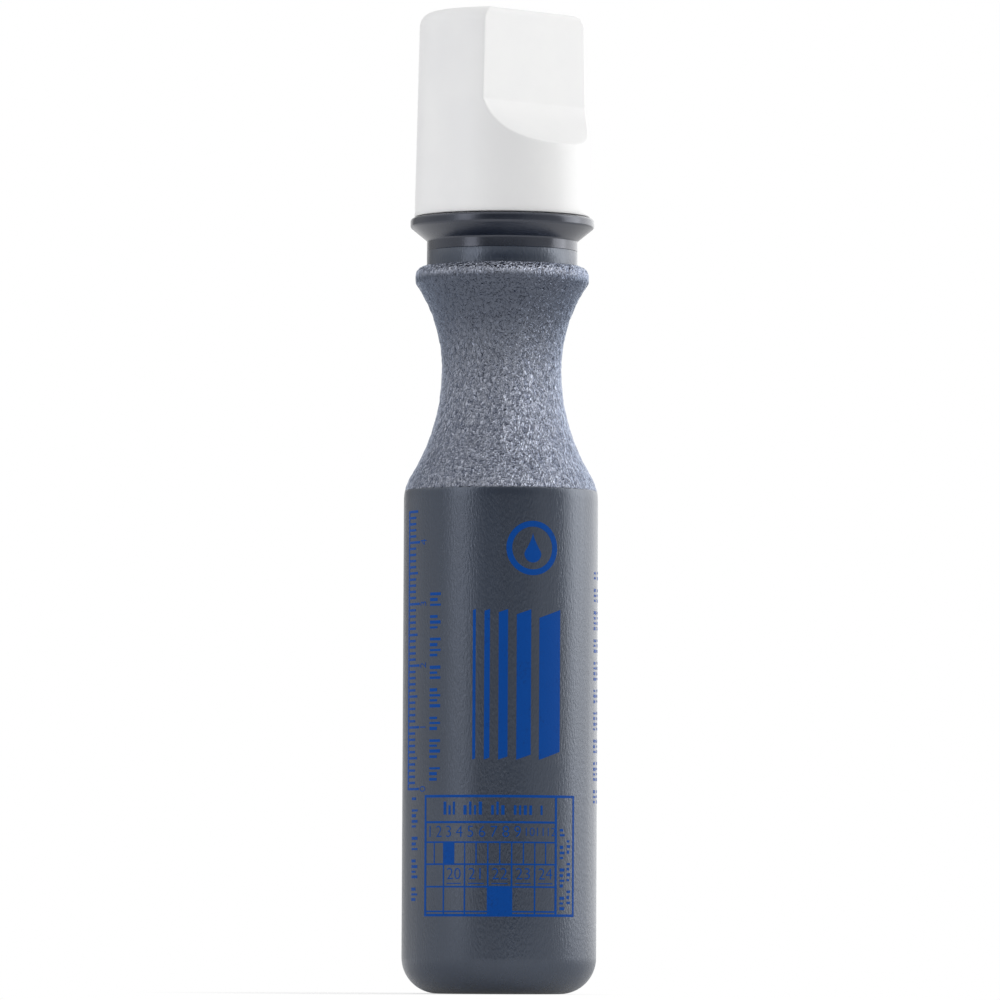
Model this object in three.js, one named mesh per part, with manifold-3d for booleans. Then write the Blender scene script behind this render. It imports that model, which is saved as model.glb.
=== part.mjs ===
// Industrial marker: a squeeze bottle of marking paint, with a spring valve behind its felt nib,
// and a pull-off cap.
// Millimetres, +Z up, origin at the centre of the foot ring. The bottle's front faces -Y.

import * as THREE from 'three';
import { mergeVertices } from 'three/addons/utils/BufferGeometryUtils.js';
import Module from 'manifold-3d';

const wasm = await Module();
wasm.setup();

// Clearances
const pressGap = 0.15; // radial, between pieces pushed or snapped together
const slideGap = 0.3; // radial, round a piece that slides
const seatGap = 0.1; // along the axis, between stacked pieces

// Bottle, blow-moulded
const bodyRadius = 15.85;
const bottleWall = 1.1;
const baseCornerRadius = 5.9;
const footRingWidth = 2.8;
const baseDomeRise = 1.4;
const bodySideTop = 80.3; // where the straight side ends and the shoulder starts to round
const bodyShoulderRound = 8;
const waistRadius = 9.8;
const lowerFlareRadius = 33; // the grip's hollow, between the body and the waist
const upperFlareRadius = 25; // the grip's hollow, between the waist and the rim
const gripRimLedge = 1.9; // how far the grip's rim stands out from the neck
const gripRimBand = 0.75;
const gripRimUnderRound = 1.2;
const gripRimTopRound = 1.6;
const neckLength = 2.45;
const neckWall = 1.3;
const spigotWall = 1.3;
const spigotLength = 6;
const spigotBead = 0.08; // snap bead round the spigot
const spigotBeadHeight = 1;
const spigotBeadRise = 2;
const neckStepDrop = 0.6; // how far below the neck's top its wall turns in to the spigot
const neckStepTaper = 0.9;

// Steel ball that stirs the paint
const ballRadius = 3.5;
const ballRestGap = 0.2;

// Felt nib and its carrier
const nibRadius = 4;
const nibLength = 27.3;
const nibTipLength = 4.6;
const nibTipFlat = 0.9;
const carrierWall = 0.95;
const carrierFloor = 1;
const carrierLength = 8.4;
const carrierSlotWidth = 1.8;
const carrierSlotHeight = 2;
const nibTravel = 2;
const travelReserve = 1.4; // room left under the carrier when the nib is fully pressed

// Valve
const barrelWall = 1.2;
const barrelLength = 6;
const valveFlangeThickness = 1.2;
const webThickness = 1.4;
const stemRadius = 1.5;
const stemFlow = 0.8; // ring of free space round the stem
const seatThickness = 1.2;
const headRadius = 3.7;
const headThickness = 1.3;
const headCone = 0.5;
const headFlow = 1.1; // ring of free space round the valve head
const guideRadius = 2;
const guideLength = 2.2;
const valveTubeWall = 0.9;
const springWire = 0.7;
const springGuideGap = 0.25;
const springLength = 7;
const springPitch = 1.3;
const retainerWall = 0.8;
const retainerFloor = 1.1;
const retainerGrip = 3.4;
const retainerPegLength = 1.6;
const retainerPortRadius = 0.85;
const retainerPorts = 6;
const windowWidth = 2.2;
const windowHeight = 2.6;
const windowRise = 0.5;

// Collar that carries the nib and the valve
const socketWall = 1.3;
const socketDepth = 6.5;
const neckFlow = 1.55; // free ring between the collar's socket and the bottle's spigot
const skirtWall = 1.25;
const skirtLength = 1;
const flangeReach = 2.7;
const flangeConeRise = 2.6;
const flangeThickness = 1.8;
const flangeRimRound = 0.55;
const gasketThickness = 0.8;
const bossWall = 0.95;
const collarRoof = 1.1;
const bossChamfer = 0.5;
const capBead = 0.25; // bead on the boss that the cap snaps over
const capBeadDrop = 0.8;
const nozzleLength = 5.3;

// Nose cone
const noseSealRadius = 0.4; // of the ring's round section
const noseFlangeThickness = 1.1;
const noseLipWall = 0.8;
const noseConeLength = 4.9;
const carrierStopGap = 0.2;

// Cap, with the inner cap that seals over the nose
const capWall = 1.3;
const capRoof = 1.5;
const capTaper = 0.68; // how much the cap narrows from its rim to its top
const capTopRound = 2.3;
const capInnerRound = 1.2;
const capRimGap = 0.15;
const snapRib = 0.65;
const snapRibHeight = 0.9;
const snapRibRise = 0.5;
const innerCapWall = 0.8;
const nibAir = 0.9; // free ring between the nib and the inner cap
const nibHeadroom = 5.7;
const innerCapOverlap = 0.8; // how far the inner cap reaches down over the nose's flange
const funnelAir = 0.3;
const holderLength = 5;
const holderWall = 1;
const flatAir = 0.2; // between the inner cap and the inside of the thumb flat
const thumbFlatAngle = -44.5; // direction that the flat faces, in degrees from +X towards +Y
const coveRadius = 10.8; // concave foot of the thumb flat
const coveSink = 0.5; // how much deeper than the flat the cove's round would run
const coveRise = 5.65; // cove's centre above the top of the inner cap's funnel

// Facets
const outerFacets = 40;
const innerFacets = 28;
const wireFacets = 6;
const wireStepsPerTurn = 10;

// Radii, worked out from the nib outwards
const carrierRadius = nibRadius + pressGap + carrierWall;
const pocketRadius = carrierRadius + slideGap;
const barrelRadius = pocketRadius + barrelWall;
const socketBore = barrelRadius + pressGap;
const socketRadius = socketBore + socketWall;
const spigotBore = socketRadius + neckFlow;
const spigotRadius = spigotBore + spigotWall;
const bossRadius = spigotRadius + pressGap + bossWall;
const neckRadius = spigotRadius + pressGap + skirtWall;
const neckBore = neckRadius - neckWall;
const gripRimRadius = neckRadius + gripRimLedge;
const flangeRadius = neckRadius + flangeReach;
const stemHoleRadius = stemRadius + stemFlow;
const chamberRadius = headRadius + headFlow;
const valveTubeRadius = chamberRadius + valveTubeWall;
const retainerBore = valveTubeRadius + pressGap;
const retainerRadius = retainerBore + retainerWall;
const noseFrontRadius = nibRadius + slideGap + noseLipWall;
const innerCapBore = nibRadius + nibAir;
const innerCapRadius = innerCapBore + innerCapWall;
const innerCapMouthBore = socketRadius + slideGap;
const innerCapMouthRadius = innerCapMouthBore + innerCapWall;
const holderBore = innerCapRadius + pressGap;
const capBore = bossRadius + capBead + pressGap + snapRib;
const capRadius = capBore + capWall;
const flatDistance = innerCapRadius + flatAir + capWall;
const footOuterRadius = bodyRadius - baseCornerRadius;
const footInnerRadius = footOuterRadius - footRingWidth;

// Heights on the bottle
const shoulderReach = waistRadius + lowerFlareRadius - bodyRadius + bodyShoulderRound;
const shoulderSpan = lowerFlareRadius + bodyShoulderRound;
const waistHeight = bodySideTop + Math.sqrt(shoulderSpan ** 2 - shoulderReach ** 2);
const rimReach = waistRadius + upperFlareRadius - gripRimRadius + gripRimUnderRound;
const rimSpan = upperFlareRadius + gripRimUnderRound;
const rimHeight = waistHeight + Math.sqrt(rimSpan ** 2 - rimReach ** 2);
const gripTop = rimHeight + gripRimBand + gripRimTopRound;
const neckTop = gripTop + neckLength;
const spigotTop = neckTop + spigotLength;

// Heights on the collar, measured from the neck's top
const flangeTop = skirtLength + flangeConeRise + flangeThickness;
const collarCeiling = spigotLength + seatGap + gasketThickness + seatGap;
const bossTop = collarCeiling + collarRoof;
const nozzleTop = bossTop + nozzleLength;
const socketEnd = collarCeiling - socketDepth;

// Heights on the valve, measured from the top of its flange
const valveOffset = socketEnd - seatGap;
const webTop = -valveFlangeThickness;
const webBottom = webTop - webThickness;
const seatTop = webBottom - seatGap;
const headTop = seatTop - seatThickness - seatGap;
const headBottom = headTop - headThickness;
const springTop = headBottom - seatGap;
const springBottom = springTop - springLength;
const retainerTop = springBottom - seatGap;
const carrierBottom = webTop + nibTravel + travelReserve;
const carrierTop = carrierBottom + carrierLength;
const nibBottom = carrierBottom + carrierFloor + seatGap;
const nibTop = nibBottom + nibLength;

// Heights on the nose, measured from the neck's top
const noseBarrelEnd = valveOffset + barrelLength + seatGap;
const noseFlangeBottom = nozzleTop + seatGap + 2 * noseSealRadius + seatGap;
const noseFlangeTop = noseFlangeBottom + noseFlangeThickness;
const noseFront = noseFlangeTop + noseConeLength;
const noseStop = valveOffset + carrierTop + carrierStopGap;

// Heights on the cap, measured from its rim
const capOffset = flangeTop + capRimGap;
const funnelSlope = noseConeLength / (socketRadius - noseFrontRadius);
const innerCapMouth = noseFlangeTop - innerCapOverlap - capOffset;
const funnelBottom = noseFlangeTop + funnelAir - capOffset;
const funnelTop = funnelBottom + (innerCapMouthRadius - innerCapRadius) * funnelSlope;
const innerCapCeiling = valveOffset + nibTop + nibHeadroom - capOffset;
const innerCapTop = innerCapCeiling + innerCapWall;
const capCeiling = innerCapTop + seatGap;
const capHeight = capCeiling + capRoof;
const coveCentreHeight = funnelTop + coveRise;

// Profiles: a point is a radius and a height
const at = (radius, height) => new THREE.Vector2(radius, height);

function arc(centre, radius, fromDegrees, toDegrees, steps) {
  const points = [];
  for (let i = 0; i <= steps; i += 1) {
    const angle = THREE.MathUtils.degToRad(fromDegrees + ((toDegrees - fromDegrees) * i) / steps);
    points.push(at(centre.x + radius * Math.cos(angle), centre.y + radius * Math.sin(angle)));
  }
  return points;
}

// Solids

function solidOf(geometry) {
  const bare = geometry.index ? geometry.toNonIndexed() : geometry;
  bare.deleteAttribute('normal');
  bare.deleteAttribute('uv');
  const welded = mergeVertices(bare, 1e-4);
  const corners = welded.index.array;
  const triangles = [];
  for (let i = 0; i < corners.length; i += 3) {
    const [a, b, c] = [corners[i], corners[i + 1], corners[i + 2]];
    if (a !== b && b !== c && c !== a) triangles.push(a, b, c);
  }
  const vertProperties = new Float32Array(welded.attributes.position.array);
  const triVerts = new Uint32Array(triangles);
  return new wasm.Manifold(new wasm.Mesh({ numProp: 3, vertProperties, triVerts }));
}

// A profile runs anticlockwise: it starts and ends on the axis, or closes on itself.
function turned(profile, facets) {
  const onAxis = profile[0].x === 0;
  const outline = onAxis ? profile : [...profile, profile[0].clone()];
  return solidOf(new THREE.LatheGeometry(outline, facets).rotateX(Math.PI / 2));
}

function placedSolid(geometry, x, y, z) {
  return solidOf(geometry.translate(x, y, z));
}

function crossedSlots(width, length, bottom, height) {
  const middle = bottom + height / 2;
  const first = placedSolid(new THREE.BoxGeometry(width, length, height), 0, 0, middle);
  const second = placedSolid(new THREE.BoxGeometry(length, width, height), 0, 0, middle);
  return first.add(second);
}

function named(name, solid, colour, roughness, metalness = 0) {
  const mesh = solid.getMesh();
  const geometry = new THREE.BufferGeometry();
  geometry.setAttribute('position', new THREE.BufferAttribute(new Float32Array(mesh.vertProperties), 3));
  geometry.setIndex(new THREE.BufferAttribute(new Uint32Array(mesh.triVerts), 1));
  geometry.computeVertexNormals();
  const material = new THREE.MeshStandardMaterial({ color: colour, roughness, metalness });
  const part = new THREE.Mesh(geometry, material);
  part.name = name;
  return part;
}

// Bottle: body, hollow grip with a rounded rim, plain neck and the spigot that the collar snaps over

function hourglass(inset, steps) {
  const bodyRound = at(bodyRadius - bodyShoulderRound, bodySideTop);
  const lowerCentre = at(waistRadius + lowerFlareRadius, waistHeight);
  const upperCentre = at(waistRadius + upperFlareRadius, waistHeight);
  const rimUnder = at(gripRimRadius - gripRimUnderRound, rimHeight);
  const rimTop = at(gripRimRadius - gripRimTopRound, rimHeight + gripRimBand);
  const lowerAngle = THREE.MathUtils.radToDeg(Math.asin((waistHeight - bodySideTop) / shoulderSpan));
  const upperAngle = THREE.MathUtils.radToDeg(Math.asin((rimHeight - waistHeight) / rimSpan));
  const upperFlare = arc(upperCentre, upperFlareRadius + inset, 180, 180 - upperAngle, steps.flare);
  return [
    ...arc(bodyRound, bodyShoulderRound - inset, 0, lowerAngle, steps.round),
    ...arc(lowerCentre, lowerFlareRadius + inset, 180 + lowerAngle, 180, steps.flare).slice(1),
    ...upperFlare.slice(1),
    ...arc(rimUnder, Math.max(gripRimUnderRound - inset, 0), -upperAngle, 0, 2).slice(1),
    ...arc(rimTop, gripRimTopRound - inset, 0, 90, steps.rim),
  ];
}

function bottle() {
  const corner = at(footOuterRadius, baseCornerRadius);
  const domeRadius = (footInnerRadius ** 2 + baseDomeRise ** 2) / (2 * baseDomeRise);
  const domeAngle = THREE.MathUtils.radToDeg(Math.asin(footInnerRadius / domeRadius));
  const domeCentre = at(0, baseDomeRise - domeRadius);
  const outside = [
    at(0, baseDomeRise),
    ...arc(domeCentre, domeRadius, 90, 90 - domeAngle, 3).slice(1, -1),
    at(footInnerRadius, 0),
    ...arc(corner, baseCornerRadius, -90, 0, 6),
    ...hourglass(0, { round: 4, flare: 7, rim: 4 }),
    at(neckRadius, gripTop),
    at(neckRadius, neckTop),
    at(spigotRadius, neckTop),
    at(spigotRadius, neckTop + spigotBeadRise - spigotBeadHeight / 2),
    at(spigotRadius + spigotBead, neckTop + spigotBeadRise),
    at(spigotRadius, neckTop + spigotBeadRise + spigotBeadHeight / 2),
    at(spigotRadius, spigotTop),
    at(spigotBore, spigotTop),
  ];
  const inside = [
    at(spigotBore, neckTop - neckStepDrop),
    at(neckBore, neckTop - neckStepDrop - neckStepTaper),
    at(neckBore, gripTop - bottleWall),
    ...hourglass(bottleWall, { round: 2, flare: 5, rim: 2 }).reverse(),
    ...arc(corner, baseCornerRadius - bottleWall, 0, -90, 4),
    at(footInnerRadius, bottleWall),
    at(0, baseDomeRise + bottleWall),
  ];
  return named('bottle', turned([...outside, ...inside], outerFacets), 0x3a424f, 0.42);
}

function mixingBall() {
  const sphere = new THREE.SphereGeometry(ballRadius, 16, 12);
  const ball = named('mixing_ball', solidOf(sphere), 0xb8babd, 0.2, 1);
  ball.position.set(footOuterRadius - footRingWidth / 2, 0, bottleWall + ballRestGap + ballRadius);
  return ball;
}

// Collar: skirt flush with the neck, conical flange, boss that the cap snaps on, nozzle and valve socket

function collar() {
  const skirtBore = spigotRadius + pressGap;
  const flangeBottom = skirtLength + flangeConeRise;
  const rimLow = at(flangeRadius - flangeRimRound, flangeBottom + flangeRimRound);
  const rimHigh = at(flangeRadius - flangeRimRound, flangeTop - flangeRimRound);
  const beadHeight = bossTop - bossChamfer - capBeadDrop;
  const profile = [
    at(skirtBore, 0),
    at(neckRadius, 0),
    at(neckRadius, skirtLength),
    ...arc(rimLow, flangeRimRound, -50, 0, 2),
    ...arc(rimHigh, flangeRimRound, 0, 90, 3),
    at(bossRadius, flangeTop),
    at(bossRadius, beadHeight - capBead),
    at(bossRadius + capBead, beadHeight),
    at(bossRadius, beadHeight + capBead),
    at(bossRadius, bossTop - bossChamfer),
    at(bossRadius - bossChamfer, bossTop),
    at(socketRadius, bossTop),
    at(socketRadius, nozzleTop),
    at(socketBore, nozzleTop),
    at(socketBore, socketEnd),
    at(socketRadius, socketEnd),
    at(socketRadius, collarCeiling),
    at(skirtBore, collarCeiling),
  ];
  return named('collar', turned(profile, outerFacets), 0x2d333e, 0.3);
}

function collarGasket() {
  const bottom = spigotLength + seatGap;
  const top = bottom + gasketThickness;
  const profile = [
    at(spigotBore, bottom),
    at(spigotRadius, bottom),
    at(spigotRadius, top),
    at(spigotBore, top),
  ];
  return named('collar_gasket', turned(profile, innerFacets), 0xd9d7cf, 0.7);
}

// Valve: body with a soft seat, a sprung plunger, its spring and the perforated retainer

function valveBody() {
  const profile = [
    at(chamberRadius, springBottom),
    at(valveTubeRadius, springBottom),
    at(valveTubeRadius, webTop),
    at(socketRadius, webTop),
    at(socketRadius, 0),
    at(barrelRadius, 0),
    at(barrelRadius, barrelLength),
    at(pocketRadius, barrelLength),
    at(pocketRadius, webTop),
    at(stemHoleRadius, webTop),
    at(stemHoleRadius, webBottom),
    at(chamberRadius, webBottom),
  ];
  const windowBottom = retainerTop + retainerGrip + windowRise;
  const windows = crossedSlots(windowWidth, 4 * valveTubeRadius, windowBottom, windowHeight);
  return named('valve_body', turned(profile, innerFacets).subtract(windows), 0xe4e2da, 0.45);
}

function valveSeat() {
  const outer = chamberRadius - pressGap;
  const bottom = seatTop - seatThickness;
  const profile = [
    at(stemHoleRadius + headCone, bottom),
    at(outer, bottom),
    at(outer, seatTop),
    at(stemHoleRadius, seatTop),
  ];
  return named('valve_seat', turned(profile, innerFacets), 0x25262a, 0.8);
}

function valvePlunger() {
  const stemTop = carrierBottom - seatGap;
  const profile = [
    at(0, headBottom - guideLength),
    at(guideRadius, headBottom - guideLength),
    at(guideRadius, headBottom),
    at(headRadius, headBottom),
    at(headRadius, headTop - headCone),
    at(headRadius - headCone, headTop),
    at(stemRadius, headTop),
    at(stemRadius, stemTop),
    at(0, stemTop),
  ];
  return named('valve_plunger', turned(profile, innerFacets), 0xf0eee6, 0.4);
}

class SpringCurve extends THREE.Curve {
  constructor(radius, bottom, top, turns) {
    super();
    Object.assign(this, { radius, bottom, top, turns });
  }

  getPoint(t) {
    const angle = 2 * Math.PI * this.turns * t;
    const height = THREE.MathUtils.lerp(this.bottom, this.top, t);
    return new THREE.Vector3(this.radius * Math.cos(angle), this.radius * Math.sin(angle), height);
  }
}

// The free space between neighbouring coils, measured from points on the wire's centre line
function coilGap(curve, turns) {
  const pointsPerTurn = 24;
  const points = curve.getPoints(turns * pointsPerTurn);
  let least = Infinity;
  for (let i = 0; i < points.length; i += 1) {
    for (let j = i + pointsPerTurn / 2; j < points.length; j += 1) {
      least = Math.min(least, points[i].distanceTo(points[j]));
    }
  }
  return least - springWire;
}

function valveSpring() {
  const radius = guideRadius + springGuideGap + springWire / 2;
  const turns = Math.floor(((springLength - springWire) / springPitch) * 4) / 4;
  const curve = new SpringCurve(radius, springBottom + springWire / 2, springTop - springWire / 2, turns);
  const circle = new THREE.EllipseCurve(0, 0, springWire / 2, springWire / 2);
  const section = new THREE.Shape(circle.getPoints(wireFacets));
  const steps = Math.round(turns * wireStepsPerTurn);
  const wire = new THREE.ExtrudeGeometry(section, { steps, bevelEnabled: false, extrudePath: curve });
  console.log(`valve spring: least gap between coils ${coilGap(curve, turns).toFixed(2)} mm`);
  return named('valve_spring', solidOf(wire), 0xc9ccd0, 0.25, 1);
}

function springRetainer() {
  const profile = [
    at(0, retainerTop - retainerFloor),
    at(retainerRadius, retainerTop - retainerFloor),
    at(retainerRadius, retainerTop + retainerGrip),
    at(retainerBore, retainerTop + retainerGrip),
    at(retainerBore, retainerTop),
    at(guideRadius, retainerTop),
    at(guideRadius, retainerTop + retainerPegLength),
    at(0, retainerTop + retainerPegLength),
  ];
  const portCircle = guideRadius + springGuideGap + springWire + retainerPortRadius + slideGap / 2;
  let solid = turned(profile, innerFacets);
  for (let i = 0; i < retainerPorts; i += 1) {
    const angle = (2 * Math.PI * i) / retainerPorts;
    const port = new THREE.CylinderGeometry(retainerPortRadius, retainerPortRadius, 3 * retainerFloor, 12);
    port.rotateX(Math.PI / 2);
    const [x, y] = [portCircle * Math.cos(angle), portCircle * Math.sin(angle)];
    solid = solid.subtract(placedSolid(port, x, y, retainerTop - retainerFloor / 2));
  }
  return named('spring_retainer', solid, 0xe4e2da, 0.45);
}

function nibCarrier() {
  const bore = nibRadius + pressGap;
  const profile = [
    at(0, carrierBottom),
    at(carrierRadius, carrierBottom),
    at(carrierRadius, carrierTop),
    at(bore, carrierTop),
    at(bore, carrierBottom + carrierFloor),
    at(0, carrierBottom + carrierFloor),
  ];
  const slotBottom = carrierBottom + carrierFloor;
  const slots = crossedSlots(carrierSlotWidth, 4 * carrierRadius, slotBottom, carrierSlotHeight);
  return named('nib_carrier', turned(profile, innerFacets).subtract(slots), 0xf0eee6, 0.4);
}

function nib() {
  const tipStart = nibTop - nibTipLength;
  const tipRadius = nibRadius - nibTipFlat;
  const tip = new THREE.EllipseCurve(nibTipFlat, tipStart, tipRadius, nibTipLength, 0, Math.PI / 2);
  const profile = [at(0, nibBottom), at(nibRadius, nibBottom), ...tip.getPoints(7), at(0, nibTop)];
  return named('nib', turned(profile, innerFacets), 0xe9e7e0, 0.95);
}

// Nose: the cone that guides the nib, and the ring that seals it on the nozzle

function noseCone() {
  const nibBore = nibRadius + slideGap;
  const lipHeight = noseFront - noseLipWall / 2;
  const profile = [
    at(pocketRadius, noseBarrelEnd),
    at(barrelRadius, noseBarrelEnd),
    at(barrelRadius, noseFlangeBottom),
    at(socketRadius, noseFlangeBottom),
    at(socketRadius, noseFlangeTop),
    at(noseFrontRadius, lipHeight),
    at(noseFrontRadius - noseLipWall / 4, noseFront),
    at(nibBore, noseFront),
    at(nibBore, noseStop),
    at(pocketRadius, noseStop),
  ];
  return named('nose_cone', turned(profile, innerFacets), 0x2b303a, 0.35);
}

function noseSeal() {
  const ringRadius = (barrelRadius + socketRadius) / 2;
  const section = arc(at(ringRadius, nozzleTop + seatGap + noseSealRadius), noseSealRadius, 0, 315, 7);
  return named('nose_seal', turned(section, innerFacets), 0x1c1c1e, 0.6);
}

// Cap: tapered shell with one thumb flat that ends below in a cove, and the inner cap pressed into it

function thumbCut(inset) {
  const far = 3 * capRadius;
  const centre = at(flatDistance + coveRadius - coveSink, coveCentreHeight);
  const reach = (centre.x - flatDistance + inset) / (coveRadius + inset);
  const crease = 180 + THREE.MathUtils.radToDeg(Math.acos(reach));
  const cove = arc(centre, coveRadius + inset, crease, 270, 10);
  const above = 2 * capHeight;
  const corners = [at(far, above), at(flatDistance - inset, above), ...cove, at(far, cove.at(-1).y)];
  const block = new THREE.ExtrudeGeometry(new THREE.Shape(corners), { depth: 2 * far, bevelEnabled: false });
  block.translate(0, 0, -far);
  const up = new THREE.Vector3(0, 0, 1);
  const facing = new THREE.Vector3(1, 0, 0).applyAxisAngle(up, THREE.MathUtils.degToRad(thumbFlatAngle));
  block.applyMatrix4(new THREE.Matrix4().makeBasis(facing, up, facing.clone().cross(up)));
  return solidOf(block);
}

function capShell() {
  const topRadius = capRadius - capTaper;
  const boreTop = topRadius - capWall;
  const round = at(topRadius - capTopRound, capHeight - capTopRound);
  const innerRound = at(boreTop - capInnerRound, capCeiling - capInnerRound);
  const ribMiddle = snapRibRise + snapRibHeight / 2;
  const outside = [at(0, 0), at(capRadius, 0), ...arc(round, capTopRound, 0, 90, 5), at(0, capHeight)];
  const inside = [
    at(0, -capRoof),
    at(capBore, -capRoof),
    at(capBore, snapRibRise),
    at(capBore - snapRib, ribMiddle),
    at(capBore, snapRibRise + snapRibHeight),
    ...arc(innerRound, capInnerRound, 0, 90, 3),
    at(0, capCeiling),
  ];
  const holder = [
    at(holderBore, capCeiling - holderLength),
    at(holderBore + holderWall, capCeiling - holderLength),
    at(holderBore + holderWall, capCeiling + capRoof / 2),
    at(holderBore, capCeiling + capRoof / 2),
  ];
  const shell = turned(outside, outerFacets).subtract(thumbCut(0));
  const hollow = turned(inside, outerFacets).subtract(thumbCut(capWall));
  return named('cap_shell', shell.subtract(hollow).add(turned(holder, innerFacets)), 0xf2f2f0, 0.3);
}

function capInner() {
  const wallRise = innerCapWall / 4;
  const boreFunnelTop = funnelTop - wallRise;
  const profile = [
    at(0, innerCapCeiling),
    at(innerCapBore, innerCapCeiling),
    at(innerCapBore, boreFunnelTop),
    at(innerCapMouthBore, funnelBottom - wallRise),
    at(innerCapMouthBore, innerCapMouth),
    at(innerCapMouthRadius, innerCapMouth),
    at(innerCapMouthRadius, funnelBottom),
    at(innerCapRadius, funnelTop),
    at(innerCapRadius, innerCapTop),
    at(0, innerCapTop),
  ];
  return named('cap_inner', turned(profile, innerFacets), 0xf6f6f2, 0.35);
}

// Assembly

function group(height, ...children) {
  const result = new THREE.Group();
  result.position.z = height;
  result.add(...children);
  return result;
}

const valveParts = [valveBody(), valveSeat(), valvePlunger(), valveSpring(), springRetainer()];
const valve = group(valveOffset, ...valveParts, nibCarrier(), nib());
const cap = group(capOffset, capShell(), capInner());
const tip = group(neckTop, collar(), collarGasket(), valve, noseCone(), noseSeal(), cap);
const marker = group(0, bottle(), mixingBall(), tip);

export default marker;
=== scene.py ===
import math

import bmesh
import bpy
from mathutils import Matrix, Vector, noise


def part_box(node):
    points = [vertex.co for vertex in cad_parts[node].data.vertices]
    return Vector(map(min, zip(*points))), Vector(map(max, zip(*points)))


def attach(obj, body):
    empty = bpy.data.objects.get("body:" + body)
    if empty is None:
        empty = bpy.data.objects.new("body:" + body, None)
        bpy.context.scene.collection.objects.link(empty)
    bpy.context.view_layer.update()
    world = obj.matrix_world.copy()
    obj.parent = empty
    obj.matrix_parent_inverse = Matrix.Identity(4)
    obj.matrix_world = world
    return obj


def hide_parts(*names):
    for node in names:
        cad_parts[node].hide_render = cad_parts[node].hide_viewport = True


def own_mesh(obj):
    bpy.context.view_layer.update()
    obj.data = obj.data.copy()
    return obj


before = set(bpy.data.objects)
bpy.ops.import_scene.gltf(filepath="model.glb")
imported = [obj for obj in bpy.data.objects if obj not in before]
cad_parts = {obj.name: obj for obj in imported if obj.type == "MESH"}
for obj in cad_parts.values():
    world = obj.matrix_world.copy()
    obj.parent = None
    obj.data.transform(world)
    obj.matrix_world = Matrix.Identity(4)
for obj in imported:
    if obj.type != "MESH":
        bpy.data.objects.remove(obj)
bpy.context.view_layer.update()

# Viewpoint
# The marker stands on a table and is seen from the printed front with a long lens held low,
# so that its sides stay upright and the flange under the cap shows from just below.
mm = 0.001
camera_reach = 1400 * mm
camera_height = 8 * mm
camera_aside = 0.19 * mm
film_width = 36
view_end = 20
frame_width = 163 * mm
aim_height = 80.47 * mm
marker_lean = math.radians(0.28)


def in_scene(name, data):
    made = bpy.data.objects.new(name, data)
    bpy.context.scene.collection.objects.link(made)
    return made


camera_data = bpy.data.cameras.new("long_lens")
camera_data.sensor_width = film_width
camera_data.lens = film_width * camera_reach / frame_width
camera_data.clip_end = view_end
camera = in_scene("long_lens", camera_data)
tilt = math.atan((aim_height - camera_height) / camera_reach)
camera.location = (camera_aside, -camera_reach, camera_height)
camera.rotation_euler = (math.pi / 2 + tilt, -marker_lean, 0)
bpy.context.scene.camera = camera
bpy.context.scene.view_settings.view_transform = "Standard"

# Table and studio light
# A pale table top that keeps the marker's soft shadow, which the light from the right lays to the
# left, and fades into the white behind it, a soft box on each side and a white room round them.
# Each fade below gives where it starts and ends, and the strength at its start and at its end.
table_reach = 3.0
table_drop = 0.02 * mm
table_colour = (0.93, 0.93, 0.93, 1)
shadow_middle = (-0.02, 0, 0)
shadow_fade = (0.012, 0.045, 0.55, 1.0)
mirrored_fade = (0.035, 0.1, 0.25, 1.0)

ceiling_fade = (0.15, 0.9, 0.17, 0.87)
right_wall_fade = (0.25, 0.95, 0.0, 0.45)
left_wall_fade = (-0.3, -0.95, 0.0, 0.5)
far_corner_side = (0.62, 0.78, 0.08)
far_corner_fade = (0.7, 0.95, 0.0, 1.0)
far_corner_in_gloss = (0.66, 0.9, 0.0, 0.75)
backdrop_fade = (0.8, 0.97)
lit_middle = Vector((0, 0, 0.08))


def node(tree, kind, **settings):
    made = tree.nodes.new(kind)
    for key, value in settings.items():
        setattr(made, key, value)
    return made


def calculate(tree, operation, first, second):
    made = node(tree, "ShaderNodeMath", operation=operation)
    for socket, value in zip(made.inputs, (first, second)):
        if isinstance(value, (int, float)):
            socket.default_value = value
        else:
            tree.links.new(value, socket)
    return made.outputs[0]


def between(tree, value, low, high, to_low=0.0, to_high=1.0):
    """A soft step from one number to another as a value goes from low to high."""
    made = node(tree, "ShaderNodeMapRange", interpolation_type="SMOOTHSTEP")
    tree.links.new(value, made.inputs["Value"])
    limits = {"From Min": low, "From Max": high, "To Min": to_low, "To Max": to_high}
    for key, number in limits.items():
        made.inputs[key].default_value = number
    return made.outputs[0]


def backdrop_rays(tree, mirrored):
    """The share of the white backdrop: whole for the camera, mirrored in gloss and glass."""
    seen = node(tree, "ShaderNodeLightPath").outputs
    gloss = calculate(tree, "MAXIMUM", seen["Is Glossy Ray"], seen["Is Transmission Ray"])
    gloss = calculate(tree, "MULTIPLY", gloss, mirrored)
    return calculate(tree, "MAXIMUM", gloss, seen["Is Camera Ray"])


def new_finish(name):
    """A new finish, its node tree, its shader and the coordinates of what it lies on."""
    made = bpy.data.materials.new(name)
    made.use_nodes = True
    tree = made.node_tree
    return made, tree, tree.nodes["Principled BSDF"], node(tree, "ShaderNodeTexCoord")


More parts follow.
